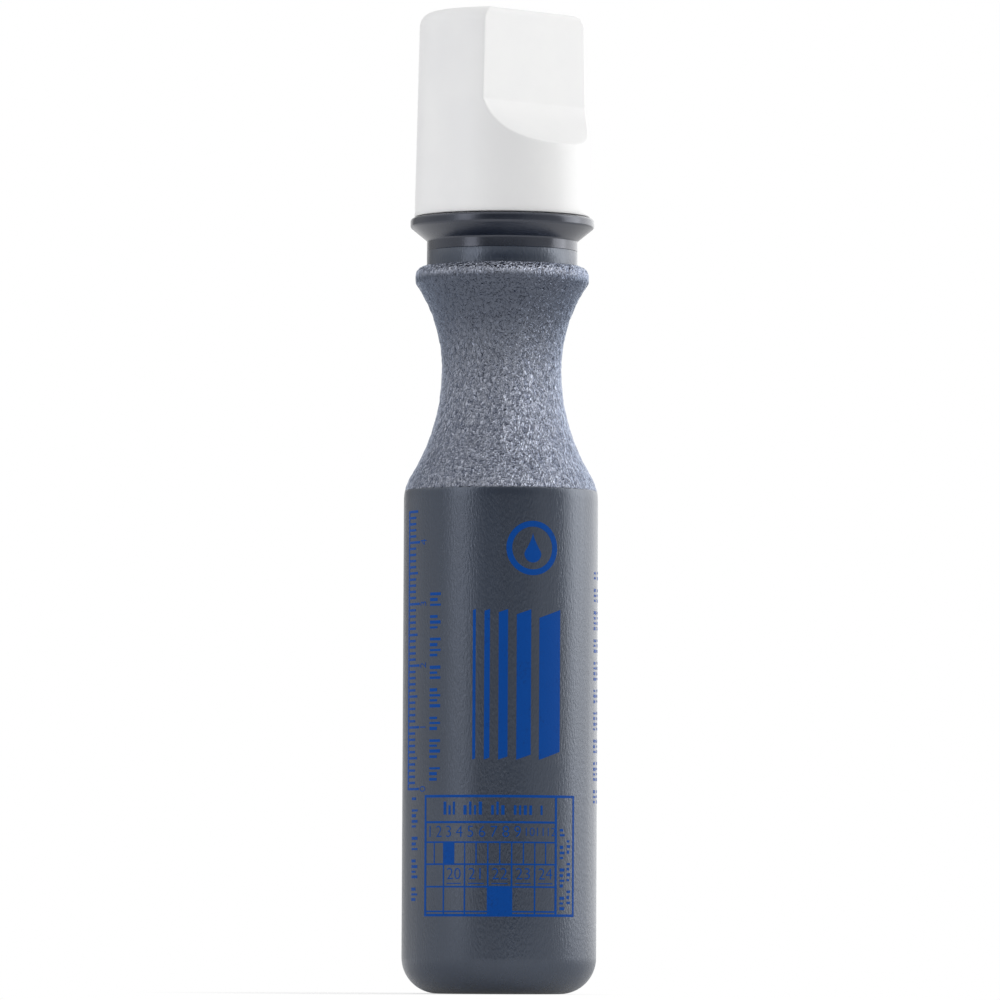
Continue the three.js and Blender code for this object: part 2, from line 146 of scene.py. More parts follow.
table_paint, tree, surface, place = new_finish("pale_table")
surface.inputs["Base Color"].default_value = table_colour
surface.inputs["Roughness"].default_value = 0.9
surface.inputs["Specular IOR Level"].default_value = 0.1
distance = node(tree, "ShaderNodeVectorMath", operation="DISTANCE")
tree.links.new(place.outputs["Object"], distance.inputs[0])
distance.inputs[1].default_value = shadow_middle
fade = between(tree, distance.outputs["Value"], *shadow_fade)
mirrored = between(tree, distance.outputs["Value"], *mirrored_fade)
white = node(tree, "ShaderNodeEmission")
white.inputs["Strength"].default_value = 1.0
blend = node(tree, "ShaderNodeMixShader")
tree.links.new(calculate(tree, "MULTIPLY", fade, backdrop_rays(tree, mirrored)), blend.inputs[0])
tree.links.new(surface.outputs[0], blend.inputs[1])
tree.links.new(white.outputs[0], blend.inputs[2])
tree.links.new(blend.outputs[0], tree.nodes["Material Output"].inputs["Surface"])

top = bmesh.new()
bmesh.ops.create_grid(top, x_segments=1, y_segments=1, size=table_reach)
bmesh.ops.translate(top, verts=top.verts, vec=(0, 0, -table_drop))
table_mesh = bpy.data.meshes.new("table_top")
top.to_mesh(table_mesh)
top.free()
table_mesh.materials.append(table_paint)
table_top = in_scene("table_top", table_mesh)

room = bpy.data.worlds.new("white_room")
room.use_nodes = True
tree = room.node_tree
paint = tree.nodes["Background"]
paint.inputs["Color"].default_value = (1, 1, 1, 1)
direction = node(tree, "ShaderNodeTexCoord").outputs["Generated"]
split = node(tree, "ShaderNodeSeparateXYZ")
tree.links.new(direction, split.inputs[0])
far_corner = node(tree, "ShaderNodeVectorMath", operation="DOT_PRODUCT")
tree.links.new(direction, far_corner.inputs[0])
far_corner.inputs[1].default_value = far_corner_side
in_gloss = node(tree, "ShaderNodeLightPath").outputs["Is Glossy Ray"]
window = between(tree, far_corner.outputs["Value"], *far_corner_in_gloss)
glow = between(tree, split.outputs["Z"], *ceiling_fade)
for added in (
    between(tree, split.outputs["X"], *right_wall_fade),
    between(tree, split.outputs["X"], *left_wall_fade),
    between(tree, far_corner.outputs["Value"], *far_corner_fade),
    calculate(tree, "MULTIPLY", window, in_gloss),
):
    glow = calculate(tree, "ADD", glow, added)
behind = between(tree, split.outputs["Y"], *backdrop_fade)
backdrop = calculate(tree, "MAXIMUM", glow, backdrop_rays(tree, behind))
tree.links.new(backdrop, paint.inputs["Strength"])
bpy.context.scene.world = room


def soft_box(name, bearing, reach, rise, width, height, radiance, colour):
    """A soft box at a bearing from the camera's side, positive to the right, facing the marker."""
    data = bpy.data.lights.new(name, "AREA")
    data.shape = "RECTANGLE"
    data.size, data.size_y = width, height
    data.energy = radiance * math.pi * width * height
    data.color = colour
    made = in_scene(name, data)
    angle = math.radians(bearing)
    made.location = (reach * math.sin(angle), -reach * math.cos(angle), rise)
    aim = lit_middle - made.location
    made.rotation_euler = aim.to_track_quat("-Z", "Y").to_euler()
    made.visible_camera = False


soft_box(
    "left_soft_box", bearing=-48, reach=0.8, rise=0.41,
    width=0.33, height=0.7, radiance=1.7, colour=(0.93, 0.94, 1.0),
)
soft_box(
    "right_soft_box", bearing=98, reach=0.8, rise=0.36,
    width=0.42, height=0.7, radiance=2.4, colour=(1.0, 1.0, 1.0),
)

# Bottle
# The squeeze bottle is blow-moulded in one piece from tinted polyethylene: a smooth body, a
# hollow waist with a moulded leather grain to grip, a rounded rim, a plain neck and the spigot.
body_radius = 15.85
wall = 1.1
corner_radius = 5.9
foot_inner = 7.15
foot_outer = body_radius - corner_radius
dome_rise = 1.4
side_top = 80.3
shoulder_round = 8.0
waist_radius = 9.8
waist_height = 101.736
lower_flare = 33.0
upper_flare = 25.0
rim_radius = 14.2
rim_under = 1.2
rim_band = 0.75
rim_top = 1.6
rim_height = 116.269
grip_top = rim_height + rim_band + rim_top
neck_radius = 12.3
neck_top = grip_top + 2.45
neck_bore = 11.0
seam_break = 0.05
spigot_radius = 10.9
spigot_bore = 9.6
spigot_top = neck_top + 6
spigot_bead = 0.08
bottle_steps = 384

grain_bottom = 81.85
grain_sink = 0.055
grain_lift = 0.11
grain_wander = 0.2
grain_seed = 1
grain_height, cloud_height = 1.6, 0.5
speckle_height, streak_height = 0.045, 0.02

body_dark, body_light = (0.004, 0.010, 0.024), (0.008, 0.016, 0.034)
body_gloss = (0.26, 0.33)
# The grip's two colours follow its grain: the lighter one on the ridges is a painted glint, the
# darker one in the grooves a painted shade.
grip_groove_shade, grip_ridge_glint = (0.25, 0.27, 0.33), (0.44, 0.463, 0.535)
grip_gloss = 0.19
# A painted shade for the upper waist under the rim.
under_rim_painted_shade = (0.105, 0.118, 0.15)
bottle_sheen = (0.8, 0.87, 1, 1)
most = (0.3, 0.7)


def arc(centre, radius, start, end, steps):
    """Points of a profile on an arc, from one angle to another in degrees."""
    angles = [math.radians(start + (end - start) * i / steps) for i in range(steps + 1)]
    return [(centre[0] + radius * math.cos(a), centre[1] + radius * math.sin(a)) for a in angles]


def spun(profile, steps, closed=False):
    """A profile of radius and height in millimetres, spun once round the marker's axis."""
    made = bmesh.new()
    points = [made.verts.new((r * mm, 0, z * mm)) for r, z in profile]
    pairs = list(zip(points, points[1:])) + ([(points[-1], points[0])] if closed else [])
    edges = [made.edges.new(pair) for pair in pairs]
    bmesh.ops.spin(
        made, geom=points + edges, cent=(0, 0, 0), axis=(0, 0, 1),
        angle=2 * math.pi, steps=steps, use_merge=True,
    )
    bmesh.ops.remove_doubles(made, verts=made.verts, dist=1e-7)
    bmesh.ops.recalc_face_normals(made, faces=made.faces)
    return made


def piece(name, made, finish, body, sharp=35):
    """A finished mesh as a piece that rides on one body of the marker."""
    mesh = bpy.data.meshes.new(name)
    made.to_mesh(mesh)
    made.free()
    mesh.materials.append(finish)
    mesh.polygons.foreach_set("use_smooth", [True] * len(mesh.polygons))
    mesh.set_sharp_from_angle(angle=math.radians(sharp))
    result = in_scene(name, mesh)
    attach(result, body)
    return result


def waist_outline(inset, round_steps, flare_steps, rim_steps):
    """The shoulder, the two flares of the waist and the rim, from the body up to the rim's top."""
    low_sine = (waist_height - side_top) / (lower_flare + shoulder_round)
    high_sine = (rim_height - waist_height) / (upper_flare + rim_under)
    low_angle, high_angle = math.degrees(math.asin(low_sine)), math.degrees(math.asin(high_sine))
    shoulder = arc(
        (body_radius - shoulder_round, side_top), shoulder_round - inset,
        0, low_angle, round_steps,
    )
    lower = arc(
        (waist_radius + lower_flare, waist_height), lower_flare + inset,
        180 + low_angle, 180, flare_steps[0],
    )
    upper = arc(
        (waist_radius + upper_flare, waist_height), upper_flare + inset,
        180, 180 - high_angle, flare_steps[1],
    )
    under = arc(
        (rim_radius - rim_under, rim_height), max(rim_under - inset, 0.01),
        -high_angle, 0, rim_steps[0],
    )
    over = arc((rim_radius - rim_top, rim_height + rim_band), rim_top - inset, 0, 90, rim_steps[1])
    return shoulder + lower[1:] + upper[1:] + under[1:] + over


dome_radius = (foot_inner ** 2 + dome_rise ** 2) / (2 * dome_rise)
dome_angle = math.degrees(math.asin(foot_inner / dome_radius))
outside = arc((0, dome_rise - dome_radius), dome_radius, 90, 90 - dome_angle, 6)
outside += arc((foot_outer, corner_radius), corner_radius, -90, 0, 16)
outside += [(body_radius, z) for z in (12, 22, 34, 46, 58, 70)]
outside += waist_outline(0, 18, (74, 60), (7, 14))
outside += [
    (neck_radius, grip_top + 0.05), (neck_radius, grip_top + 0.4),
    (neck_radius, neck_top - seam_break), (neck_radius - seam_break, neck_top),
    (spigot_radius + 0.1, neck_top), (spigot_radius, neck_top + 0.1),
    (spigot_radius, neck_top + 1.5), (spigot_radius + spigot_bead, neck_top + 2),
    (spigot_radius, neck_top + 2.5), (spigot_radius, spigot_top - 0.2),
    (spigot_radius - 0.2, spigot_top), (spigot_bore, spigot_top),
]
inside = [(spigot_bore, neck_top - 0.6), (neck_bore, neck_top - 1.5), (neck_bore, grip_top - wall)]
inside += waist_outline(wall, 3, (6, 5), (2, 3))[::-1]
inside += arc((foot_outer, corner_radius), corner_radius - wall, 0, -90, 6)
inside += [(foot_inner, wall), (0, dome_rise + wall)]
bottle_mesh = spun(outside + inside, bottle_steps)


def ramp(value, low, high):
    share = max(0.0, min(1.0, (value - low) / (high - low)))
    return share * share * (3 - 2 * share)


def leather_grain(x, y, z):
    """Height of the grain, from -1 in a groove to 1 on a ridge, for a place in millimetres."""
    wander = noise.noise_vector(Vector((x * 0.8, y * 0.8, z * 0.8)))
    spot = Vector((x * 1.15, y * 1.15, z * 0.95)) + wander * 0.5
    return noise.noise(spot) + 0.5 * noise.noise(spot * 1.9)


def grained(point):
    """True for a point on the outside of the grip, above the body and clear of the neck."""
    x, y, z = point.co / mm
    outer_face = point.normal.x * x + point.normal.y * y > 0 or z > grip_top - wall
    if z < grain_bottom - 1 or z > grip_top + 0.02 or not outer_face:
        return False
    least = neck_radius + 0.25 if z > grip_top - 0.1 else waist_radius - 0.05
    return math.hypot(x, y) >= least


bottle_mesh.normal_update()
noise.seed_set(grain_seed)
moves = []
for point in filter(grained, bottle_mesh.verts):
    x, y, z = point.co / mm
    bearing = math.atan2(y, x)
    way_round = Vector((6 * math.cos(bearing), 6 * math.sin(bearing), 3.1))
    edge = grain_bottom + grain_wander * noise.noise(way_round)
    share = ramp(z, edge - 0.12, edge + 0.2)
    if share > 0:
        lift = (-grain_sink + grain_lift * leather_grain(x, y, z)) * share
        moves.append((point, point.normal * min(lift, 0) * mm))
for point, move in moves:
    point.co += move


def pattern(tree, place, scale, squeeze=(1, 1, 1), **settings):
    """A cloudy pattern in the marker's own coordinates, at so many features to the metre."""
    mapping = node(tree, "ShaderNodeMapping")
    mapping.inputs["Scale"].default_value = squeeze
    tree.links.new(place.outputs["Object"], mapping.inputs["Vector"])
    made = node(tree, "ShaderNodeTexNoise")
    tree.links.new(mapping.outputs[0], made.inputs["Vector"])
    made.inputs["Scale"].default_value = scale
    for key, value in settings.items():
        made.inputs[key].default_value = value
    return made.outputs["Fac"]


def tint(tree, share, first, second):
    """A blend of two colours, each given as numbers or taken from a socket."""
    made = node(tree, "ShaderNodeMix", data_type="RGBA")
    tree.links.new(share, made.inputs["Factor"])
    for socket, value in ((made.inputs[6], first), (made.inputs[7], second)):
        if isinstance(value, tuple):
            socket.default_value = (*value, 1)
        else:
            tree.links.new(value, socket)
    return made.outputs[2]


def either(tree, share, first, second):
    """A blend of two numbers, each given as such or taken from a socket."""
    made = node(tree, "ShaderNodeMix", data_type="FLOAT")
    tree.links.new(share, made.inputs["Factor"])
    for socket, value in ((made.inputs[2], first), (made.inputs[3], second)):
        if isinstance(value, float):
            socket.default_value = value
        else:
            tree.links.new(value, socket)
    return made.outputs[0]


def raised(tree, surface, heights, depth):
    """Fine relief in a finish, of so many metres for a height of 1."""
    bump = node(tree, "ShaderNodeBump")
    bump.inputs["Distance"].default_value = depth
    tree.links.new(heights, bump.inputs["Height"])
    tree.links.new(bump.outputs[0], surface.inputs["Normal"])


bottle_plastic, tree, surface, place = new_finish("tinted_polyethylene")
split = node(tree, "ShaderNodeSeparateXYZ")
tree.links.new(place.outputs["Object"], split.inputs[0])
height = split.outputs["Z"]
on_grip = calculate(
    tree, "MULTIPLY",
    between(tree, height, (grain_bottom - 0.1) * mm, (grain_bottom + 0.2) * mm),
    between(tree, height, (grip_top - 0.1) * mm, (grip_top + 0.05) * mm, 1.0, 0.0),
)
mottle = pattern(tree, place, 90, (1, 1, 0.35), Detail=4.0, Roughness=0.6)
speckle = pattern(tree, place, 3400, (1, 1, 0.4), Detail=1.0, Roughness=0.6)
streaks = pattern(tree, place, 420, (1, 1, 0.02), Detail=2.0)
grain = pattern(tree, place, 2350, (1, 1, 0.62), Detail=0.8, Roughness=0.5, Distortion=0.9)
clouds = pattern(tree, place, 260, Detail=2.0)

body_colour = tint(tree, between(tree, mottle, *most), body_dark, body_light)
# The grip's colour follows its grain: lighter ridges are painted glints and darker grooves are
# painted shade.
grip_glints_and_shade = tint(tree, between(tree, grain, 0.3, 0.72), grip_groove_shade, grip_ridge_glint)
# Painted shade on the grip: it darkens from 93 mm up to under the rim and fades off over the rim's
# band, so the rim's rounded top stays lighter.
under_rim_shade_share = calculate(
    tree, "MULTIPLY",
    between(tree, height, 93 * mm, 113 * mm),
    between(tree, height, rim_height * mm, (rim_height + rim_band + 0.4) * mm, 1.0, 0.0),
)
grip_glints_and_shade = tint(tree, under_rim_shade_share, grip_glints_and_shade, under_rim_painted_shade)
tree.links.new(tint(tree, on_grip, body_colour, grip_glints_and_shade), surface.inputs["Base Color"])
tree.links.new(on_grip, surface.inputs["Metallic"])
body_rough = between(tree, streaks, *most, *body_gloss)
tree.links.new(either(tree, on_grip, body_rough, grip_gloss), surface.inputs["Roughness"])
surface.inputs["Specular IOR Level"].default_value = 1.0
surface.inputs["Specular Tint"].default_value = bottle_sheen
surface.inputs["IOR"].default_value = 1.55

body_relief = calculate(
    tree, "ADD",
    calculate(tree, "MULTIPLY", speckle, speckle_height),
    calculate(tree, "MULTIPLY", streaks, streak_height),
)
grip_relief = calculate(
    tree, "ADD",
    calculate(tree, "MULTIPLY", calculate(tree, "SUBTRACT", grain, 0.5), grain_height),
    calculate(tree, "MULTIPLY", calculate(tree, "SUBTRACT", clouds, 0.5), cloud_height),
)
relief_share = calculate(
    tree, "ADD",
    between(tree, height, 86 * mm, 114 * mm, 1.0, 0.3),
    between(tree, height, (rim_height + 0.5) * mm, (grip_top - 0.6) * mm, 0.0, 0.8),
)
grip_relief = calculate(tree, "MULTIPLY", grip_relief, relief_share)
grip_relief = calculate(tree, "SUBTRACT", grip_relief, 0.1)
raised(tree, surface, either(tree, on_grip, body_relief, grip_relief), mm)

bottle = piece("squeeze_bottle", bottle_mesh, bottle_plastic, "bottle_assembly", 50)
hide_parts("bottle")

# Print
# One pass of blue screen print on the body: a ring with a drop, a swatch of line widths, a
# centimetre scale, rows of plain marks down both sides, and a table for the month and year with
# two fields filled in.
ink_base = body_radius - 0.01
ink_depth = 0.03
ink_step = 0.55
ink_blue, ink_worn = (0.001, 0.058, 0.29), (0.004, 0.034, 0.15)
figure_slimming = -0.012

ink, tree, surface, place = new_finish("blue_print")
worn = pattern(tree, place, 2200, Detail=3.0, Roughness=0.7)
thin = pattern(tree, place, 260, Detail=3.0)
wear = calculate(
    tree, "MULTIPLY", between(tree, worn, 0.5, 0.75), between(tree, thin, 0.4, 0.7),
)
tree.links.new(tint(tree, wear, ink_blue, ink_worn), surface.inputs["Base Color"])
surface.inputs["Roughness"].default_value = 0.45
surface.inputs["Specular IOR Level"].default_value = 0.1
raised(tree, surface, worn, 0.02 * mm)


def sliced(made, place, direction, dist=1e-5, **settings):
    """Cuts a whole mesh along a plane."""
    everything = made.verts[:] + made.edges[:] + made.faces[:]
    return bmesh.ops.bisect_plane(
        made, geom=everything, dist=dist, plane_co=place, plane_no=direction, **settings,
    )


def taken_in(made, other):
    """Adds another mesh to this one."""
    loose = bpy.data.meshes.new("loose")
    other.to_mesh(loose)
    other.free()
    made.from_mesh(loose)
    bpy.data.meshes.remove(loose)


def wrapped(name, made):
    """Ink drawn flat, across and up in millimetres, given its depth and laid round the body."""
    low = min(v.co.x for v in made.verts)
    high = max(v.co.x for v in made.verts)
    for k in range(math.ceil(low / ink_step), math.floor(high / ink_step) + 1):
        sliced(made, (k * ink_step, 0, 0), (1, 0, 0))
    lifted = bmesh.ops.extrude_face_region(made, geom=made.faces[:], use_keep_orig=True)
    upper = [item for item in lifted["geom"] if isinstance(item, bmesh.types.BMVert)]
    bmesh.ops.translate(made, verts=upper, vec=(0, 0, ink_depth))
    bmesh.ops.recalc_face_normals(made, faces=made.faces)
    for point in made.verts:
        across, up, depth = point.co
        angle = across / body_radius
        radius = ink_base + depth
        point.co = Vector((radius * math.sin(angle), -radius * math.cos(angle), up)) * mm
    return piece(name, made, ink, "bottle_assembly", 30)


def bar(made, left, right, low, high, slant=0.0):
    """A flat bar of ink, its ends cut at a slant."""
    corners = [(left, low), (right, low + slant), (right, high), (left, high - slant)]
    made.faces.new([made.verts.new((x, z, 0)) for x, z in corners])


def ruled(made, uprights, levels, inked):
    """A field cut along its ruled lines, keeping only the parts that carry ink."""
    field = bmesh.new()
    bar(field, uprights[0], uprights[-1], levels[0], levels[-1])
    for direction, cuts in ((Vector((1, 0, 0)), uprights), (Vector((0, 1, 0)), levels)):
        for cut in cuts[1:-1]:
            sliced(field, direction * cut, direction)
    middles = [(face, face.calc_center_median()) for face in field.faces]
    bare = [face for face, middle in middles if not inked(middle.x, middle.y)]
    bmesh.ops.delete(field, geom=bare, context="FACES")
    taken_in(made, field)


def figures(made, text, across, up, size, turn=0.0):
    """Plain figures, centred on a place and turned by so many degrees."""
    curve = bpy.data.curves.new("figures", "FONT")
    curve.body = text
    curve.size = size
    curve.offset = figure_slimming * size
    curve.resolution_u = 3
    curve.align_x = "CENTER"
    curve.align_y = "CENTER"
    holder = in_scene("figures", curve)
    bpy.context.view_layer.update()
    mesh = bpy.data.meshes.new_from_object(holder)
    turned = Matrix.Rotation(math.radians(turn), 4, "Z")
    mesh.transform(Matrix.Translation((across, up, 0)) @ turned)
    made.from_mesh(mesh)
    bpy.data.objects.remove(holder)
    bpy.data.curves.remove(curve)
    bpy.data.meshes.remove(mesh)


# Ring with a drop of paint in it
ring_middle = (5.3, 71.97)
ring_radii = (4.4, 3.45)
drop_radius = 1.45
drop = bmesh.new()
for radius in ring_radii:
    bmesh.ops.create_circle(drop, segments=64, radius=radius)
bmesh.ops.bridge_loops(drop, edges=drop.edges[:])
bead = bmesh.ops.create_circle(drop, segments=40, radius=drop_radius, cap_ends=True)["verts"]
for point in bead:
    rise = max(0.0, point.co.y / drop_radius)
    point.co.x *= 1 - 0.95 * rise ** 1.6
    point.co.y = point.co.y - 0.9 + 1.9 * rise ** 2.2
bmesh.ops.translate(drop, verts=drop.verts, vec=(*ring_middle, 0))
wrapped("print_ring", drop)

# Swatch of line widths
swatch_left = -4.5
swatch_low, swatch_high = 37.77, 62.07
swatch_gap = 1.42
swatch = bmesh.new()
for width in (0.5, 0.9, 1.5, 2.4, 3.9):
    bar(swatch, swatch_left, swatch_left + width, swatch_low, swatch_high, 0.35 * width)
    swatch_left += width + swatch_gap
wrapped("print_line_widths", swatch)

# Centimetre scale on the left
scale_low = 33.1
scale_length = 45
scale_edge = -18.9
scale_line = 0.5
scale_figures = scale_edge + 4.6
tick_half = 0.2
tick_reach = {0: 3.5, 5: 2.9}
short_tick = 2.3
scale = bmesh.new()
bar(scale, scale_edge - scale_line, scale_edge, scale_low - 0.15, scale_low + scale_length + 0.15)
for tick in range(scale_length + 1):
    reach = tick_reach.get(tick % 10, short_tick)
    level = scale_low + tick
    bar(scale, scale_edge, scale_edge + reach, level - tick_half, level + tick_half)
for count in range(scale_length // 10 + 1):
    figures(scale, str(count), scale_figures, scale_low + 10 * count, 2.2, turn=90)
wrapped("print_scale", scale)

# Rows of plain marks, across the body or up it: place, start, end and height
marks_across = [(28.9, -9.6, 7.4, 2.1)]
marks_up = [
    (-12.7, 34.4, 65.4, 2.3), (-17.6, 15.0, 32.0, 1.9), (10.5, 13.6, 27.0, 1.0),
    (12.0, 14.6, 26.4, 0.8), (20.3, 31.0, 69.5, 1.7), (22.7, 31.0, 69.5, 1.7),
    (25.1, 31.0, 69.5, 1.7),
]
marks = bmesh.new()


def row_of_marks(across, along, far, height, upright):
    """A row of short strokes in uneven groups, of two heights."""
    step = 0
    while along < far - 0.5:
        step += 1
        stroke = 0.34 + 0.2 * math.sin(7.3 * step + across) ** 2
        tall = height * (0.72 if math.sin(3.1 * step + across) < 0.2 else 1.0)
        if upright:
            bar(marks, across, across + tall, along, along + stroke)
        else:
            bar(marks, along, along + stroke, across, across + tall)
        along += stroke + (1.5 if step % 7 in (3, 0) else 0.42)


for row in marks_up:
    row_of_marks(*row, True)
for row in marks_across:
    row_of_marks(*row, False)
wrapped("print_marks", marks)

# Table of months and years
table_left, table_right = -13.75, 13.7
columns_left, column_width = -13.4, 1.925
columns = [columns_left + column_width * i for i in range(13)]
years = columns[2::2]
foot_level, cell_level, year_level, field_level = 12.5, 17.29, 20.92, 24.47
month_level, head_level = 27.7, 32.1
second_foot = foot_level + 0.8
hair = 0.13
thick = 0.42
month_rule = 0.17
field_rule = hair * 0.8
hair_levels = (field_level, year_level, cell_level)
month_figures, year_figures = 26.1, 19.3
figure_size, slim_figure_size = 2.7, 2.0
year_line = (17.75, 17.9)
table = bmesh.new()


def inked(x, z):
    """True where the table carries ink: its frame, its rules and the two fields filled in."""
    inner_left, inner_right = columns[0], columns[-1]
    if x < table_left + thick or x > table_right - thick:
        return True
    if z > head_level - thick or z < foot_level + thick:
        return True
    if inner_right - thick / 2 < x < inner_right + thick / 2:
        return True
    if x > inner_right:
        return False
    if abs(z - month_level) < month_rule:
        return True
    if z > month_level:
        return False
    if inner_left - hair < x < inner_left + hair:
        return True
    if x < inner_left:
        return False
    if min(abs(z - level) for level in (*hair_levels, second_foot)) < hair:
        return True
    if z > field_level:
        return False
    if z > year_level:
        return columns[2] < x < columns[3] or min(abs(x - c) for c in columns) < field_rule
    if min(abs(x - c) for c in years) < hair:
        return True
    return z < cell_level and years[2] < x < years[3]


uprights = [table_left, table_left + thick, table_right - thick, table_right]
uprights += [columns[-1] - thick / 2, columns[-1] + thick / 2]
for half in (hair, field_rule):
    uprights += [c + side_of * half for c in columns[:-1] for side_of in (-1, 1)]
uprights += [columns[2], columns[3]]
cuts = [foot_level, foot_level + thick, head_level - thick, head_level]
cuts += [level + side_of * hair for level in (*hair_levels, second_foot) for side_of in (-1, 1)]
cuts += [month_level - month_rule, month_level + month_rule]
ruled(table, sorted(uprights), sorted(cuts), inked)
for month in range(12):
    size = figure_size if month < 9 else slim_figure_size
    figures(table, str(month + 1), columns[month] + 0.96, month_figures, size)
for count, left in enumerate(years[:-1]):
    figures(table, str(20 + count), left + 1.92, year_figures, figure_size)
    bar(table, left + 0.6, left + 3.2, *year_line)
wrapped("print_table", table)

# Collar
# Snapped over the spigot, injection-moulded in near-black plastic: a skirt flush with the neck,
# a flared flange under the cap, a boss that the cap clicks onto, and the nozzle.
collar_bore = spigot_radius + 0.15
skirt_top = neck_top + 1.5
skirt_fillet = 0.4
flange_radius = 15.0
flange_low = neck_top + 3.6
flange_top = neck_top + 5.4
flange_edge = 0.55
boss_radius = 12.0
boss_top = neck_top + 8.1
bead_rise = 0.25
bead_height = boss_top - 1.3
nozzle_radius = 8.05
nozzle_bore = 6.75
nozzle_top = neck_top + 13.4
socket_end = neck_top + 0.5
collar_ceiling = neck_top + 7
ridge_bearing, ridge_half, ridge_share = 18.2, 1.9, 0.0035
collar_sheen = (0.86, 0.89, 1, 1)

outline = [
    (collar_bore, neck_top), (neck_radius - seam_break, neck_top),
    (neck_radius, neck_top + seam_break),
]
outline += arc((neck_radius + skirt_fillet, skirt_top), skirt_fillet, 180, 130, 5)
outline += arc((flange_radius - flange_edge, flange_low + flange_edge), flange_edge, -50, 0, 6)
outline += arc((flange_radius - flange_edge, flange_top - flange_edge), flange_edge, 0, 90, 8)
outline += [
    (boss_radius + 0.15, flange_top), (boss_radius + 0.04, flange_top + 0.04),
    (boss_radius, flange_top + 0.15), (boss_radius, bead_height - bead_rise),
    (boss_radius + 0.17, bead_height - 0.08), (boss_radius + bead_rise, bead_height),
    (boss_radius + 0.17, bead_height + 0.08), (boss_radius, bead_height + bead_rise),
    (boss_radius, boss_top - 0.5), (boss_radius - 0.15, boss_top - 0.15),
    (boss_radius - 0.5, boss_top), (nozzle_radius + 0.15, boss_top),
    (nozzle_radius, boss_top + 0.15), (nozzle_radius, nozzle_top - 0.2),
    (nozzle_radius - 0.2, nozzle_top), (nozzle_bore + 0.15, nozzle_top),
    (nozzle_bore, nozzle_top - 0.15), (nozzle_bore, socket_end), (nozzle_radius, socket_end),
    (nozzle_radius, collar_ceiling), (collar_bore, collar_ceiling),
]
collar_mesh = spun(outline, 192, closed=True)
for point in collar_mesh.verts:
    x, y, z = point.co / mm
    if math.hypot(x, y) > neck_radius - 0.2 and z < neck_top + 1.3:
        bearing = math.degrees(math.atan2(x, -y))
        ridge = max(0.0, 1 - abs(bearing - ridge_bearing) / ridge_half)
        point.co.x *= 1 + ridge_share * ridge
        point.co.y *= 1 + ridge_share * ridge


def moulded(name, flow, squeeze, colours, gloss, grit, depth):
    """A moulded plastic: slow drifts of colour and gloss, and a fine grit of some depth."""
    made, tree, surface, place = new_finish(name)
    drift = pattern(tree, place, flow, squeeze, Detail=4.0)
    speckle = pattern(tree, place, grit, Detail=2.0)
    colour = tint(tree, between(tree, drift, *most), *colours)
    tree.links.new(colour, surface.inputs["Base Color"])
    tree.links.new(between(tree, drift, *most, *gloss), surface.inputs["Roughness"])
    raised(tree, surface, speckle, depth)
    return made, surface


collar_plastic, surface = moulded(
    "near_black_plastic", 160, (1, 1, 1), ((0.003, 0.006, 0.014), (0.005, 0.009, 0.019)),
    gloss=(0.2, 0.28), grit=3000, depth=0.012 * mm,
)
surface.inputs["Specular IOR Level"].default_value = 0.95
surface.inputs["Specular Tint"].default_value = collar_sheen

collar = piece("snap_collar", collar_mesh, collar_plastic, "bottle_assembly")
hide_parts("collar")

# Nose cone
# Pushed into the nozzle over its rubber ring, in the collar's plastic: it guides the nib and
# stops it from being pulled out. Its front edge is turned over the nib.
barrel_radius = 6.6
pocket_radius = 5.4
pocket_low, pocket_high = 127.57, 132.27
nib_bore = 4.3
nose_flange = nozzle_top + 1.0
cone_foot = nose_flange + 1.1
cone_top = cone_foot + 4.9
outline = [
    (pocket_radius, pocket_low), (barrel_radius, pocket_low), (barrel_radius, nose_flange),
    (nozzle_radius - 0.15, nose_flange), (nozzle_radius, nose_flange + 0.15),
    (nozzle_radius, cone_foot - 0.12), (nozzle_radius - 0.1, cone_foot + 0.1),
    (5.1, cone_top - 0.4), (5.0, cone_top - 0.15), (4.8, cone_top), (nib_bore + 0.1, cone_top),
    (nib_bore, cone_top - 0.1), (nib_bore, pocket_high), (pocket_radius, pocket_high),
]
nose = piece("nose_tip", spun(outline, 128, closed=True), collar_plastic, "bottle_assembly")
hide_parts("nose_cone")

# Nib
# A rod of pressed felt, pushed into its carrier, with a rounded writing end. Pale until the
# first press of the valve lets the paint into it.
nib_radius = 4.0
nib_low = 124.77
nib_top = 152.07
nib_dome = 4.6
nib_flat = 0.9
fluff_depth = 0.03
felt_colours = ((0.66, 0.64, 0.59), (0.86, 0.85, 0.81))
outline = [(0, nib_low), (nib_radius - 0.15, nib_low), (nib_radius, nib_low + 0.15)]
outline += [(nib_radius, nib_low + 1.5 * k) for k in range(1, 14)]
outline += [
    (nib_flat + (nib_radius - nib_flat) * math.cos(a), nib_top - nib_dome + nib_dome * math.sin(a))
    for a in (math.radians(3.75 * k) for k in range(25))
]
outline += [(nib_flat / 2, nib_top), (0, nib_top)]
nib_mesh = spun(outline, 160)
bmesh.ops.subdivide_edges(
    nib_mesh, cuts=3, use_grid_fill=True,
    edges=[e for e in nib_mesh.edges if abs(e.verts[0].co.z - e.verts[1].co.z) > 1.2 * mm],
)
nib_mesh.normal_update()
fluff = []
for point in nib_mesh.verts:
    spot = point.co / mm
    lift = fluff_depth * noise.noise(Vector((spot.x * 5, spot.y * 5, spot.z * 1.6)))
    fluff.append((point, point.normal * (lift - fluff_depth) * mm))
for point, move in fluff:
    point.co += move

